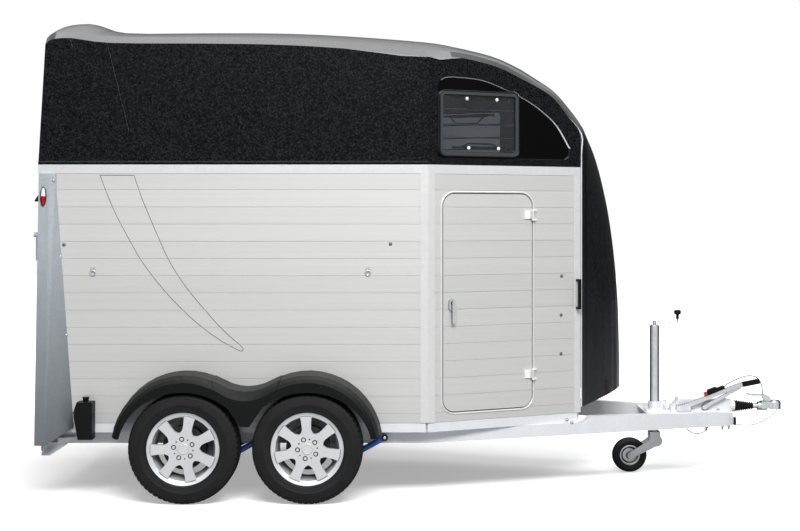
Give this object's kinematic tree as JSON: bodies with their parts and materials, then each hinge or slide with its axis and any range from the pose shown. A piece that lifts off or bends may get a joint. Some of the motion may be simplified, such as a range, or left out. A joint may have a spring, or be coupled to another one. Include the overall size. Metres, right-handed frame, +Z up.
{
  "type": "horse trailer",
  "caption": "Enclosed two-horse trailer with plank walls, moulded hood, rear ramp, side doors, tandem axles and a V-drawbar with overrun brake and jockey wheel.",
  "frame": {"origin": "middle of the overall box, on the ground", "axes": "+X to the coupling, +Y to the left side, +Z up"},
  "size_m": [4.586, 2.1962, 2.855],
  "materials": {
    "planks": "anodised planks",
    "bright_trim": "bright anodised",
    "inner_panel": "film-faced plywood",
    "floor_board": "film-faced plywood",
    "galvanised": "hot-dip galvanised",
    "black_moulding": "glass-fibre moulding with gel coat",
    "black_frame": "satin",
    "tinted_pane": "tinted",
    "white_parts": "satin",
    "bright_steel": "zinc plated",
    "black_plastic": "grained",
    "black_rubber": "matt",
    "solid_tyre": "matt",
    "blue_paint": "gloss",
    "red_lens": "clear",
    "tyre": "matt",
    "alloy_rim": "silver lacquer",
    "brake_drum": "grey paint"
  },
  "bodies": {
    "trailer": {"side_walls": "planks", "front_walls": "planks", "front_panel": "inner_panel", "floor_board": "floor_board", "floor_mats": "black_rubber", "body_rails": "bright_trim", "rear_posts": "galvanised", "hood": "black_moulding", "nose_cap": "black_moulding", "window_frames": "black_frame", "window_panes": "tinted_pane", "door_hinges": "white_parts", "ramp_latches": "bright_steel", "chassis_frame": "galvanised", "drawbar": "galvanised", "axles": "galvanised", "mudguards": "black_plastic", "overrun_housing": "galvanised", "bellows": "black_rubber", "coupling_head": "bright_steel", "handbrake_lever": "bright_steel", "lever_grip": "black_plastic", "parked_plug": "black_plastic", "brake_wires": "black_rubber", "jockey_tube": "bright_steel", "crank_knob": "black_plastic", "jockey_clamp": "galvanised", "dampers": "blue_paint", "wheel_chocks": "black_plastic", "post_buffers": "black_rubber", "tail_lamps": "red_lens", "side_markers": "red_lens", "grab_handles": "black_plastic", "tie_rings": "bright_steel", "partition": "inner_panel", "stall_bars": "bright_steel", "tarp_roller": "bright_trim"},
    "wheel_rear_right": {"tyre_rear_right": "tyre", "rim_rear_right": "alloy_rim", "drum_rear_right": "brake_drum"},
    "wheel_rear_left": {"tyre_rear_left": "tyre", "rim_rear_left": "alloy_rim", "drum_rear_left": "brake_drum"},
    "wheel_front_right": {"tyre_front_right": "tyre", "rim_front_right": "alloy_rim", "drum_front_right": "brake_drum"},
    "wheel_front_left": {"tyre_front_left": "tyre", "rim_front_left": "alloy_rim", "drum_front_left": "brake_drum"},
    "door_right": {"door_right": "planks", "door_handle_right": "bright_steel"},
    "door_left": {"door_left": "planks", "door_handle_left": "bright_steel"},
    "ramp": {"ramp": "planks"},
    "jockey_swivel": {"jockey_fork": "bright_steel"},
    "jockey_roller": {"jockey_wheel": "solid_tyre", "jockey_rim": "bright_steel"}
  },
  "joints": [
    {"name": "wheel_rear_right_spin", "type": "hinge", "parent": "trailer", "child": "wheel_rear_right", "pos_m": [-1.387, -0.98, 0.31725], "axis": [0, 1, 0], "continuous": true},
    {"name": "wheel_rear_left_spin", "type": "hinge", "parent": "trailer", "child": "wheel_rear_left", "pos_m": [-1.387, 0.98, 0.31725], "axis": [0, 1, 0], "continuous": true},
    {"name": "wheel_front_right_spin", "type": "hinge", "parent": "trailer", "child": "wheel_front_right", "pos_m": [-0.681, -0.98, 0.31725], "axis": [0, 1, 0], "continuous": true},
    {"name": "wheel_front_left_spin", "type": "hinge", "parent": "trailer", "child": "wheel_front_left", "pos_m": [-0.681, 0.98, 0.31725], "axis": [0, 1, 0], "continuous": true},
    {"name": "door_right_swing", "type": "hinge", "parent": "trailer", "child": "door_right", "pos_m": [0.6489, -0.57908, 1.134], "axis": [0, 0, 1], "range_deg": [0, 115]},
    {"name": "door_left_swing", "type": "hinge", "parent": "trailer", "child": "door_left", "pos_m": [0.6489, 0.57908, 1.134], "axis": [0, 0, -1], "range_deg": [0, 115]},
    {"name": "ramp_fold", "type": "hinge", "parent": "trailer", "child": "ramp", "pos_m": [-2.225, 0, 0.35], "axis": [0, -1, 0], "range_deg": [0, 104]},
    {"name": "jockey_swivel_turn", "type": "hinge", "parent": "trailer", "child": "jockey_swivel", "pos_m": [1.482, 0, 0.3], "axis": [0, 0, 1], "continuous": true},
    {"name": "jockey_wheel_spin", "type": "hinge", "parent": "jockey_swivel", "child": "jockey_roller", "pos_m": [1.32, 0, 0.1105], "axis": [0, 1, 0], "continuous": true}
  ]
}
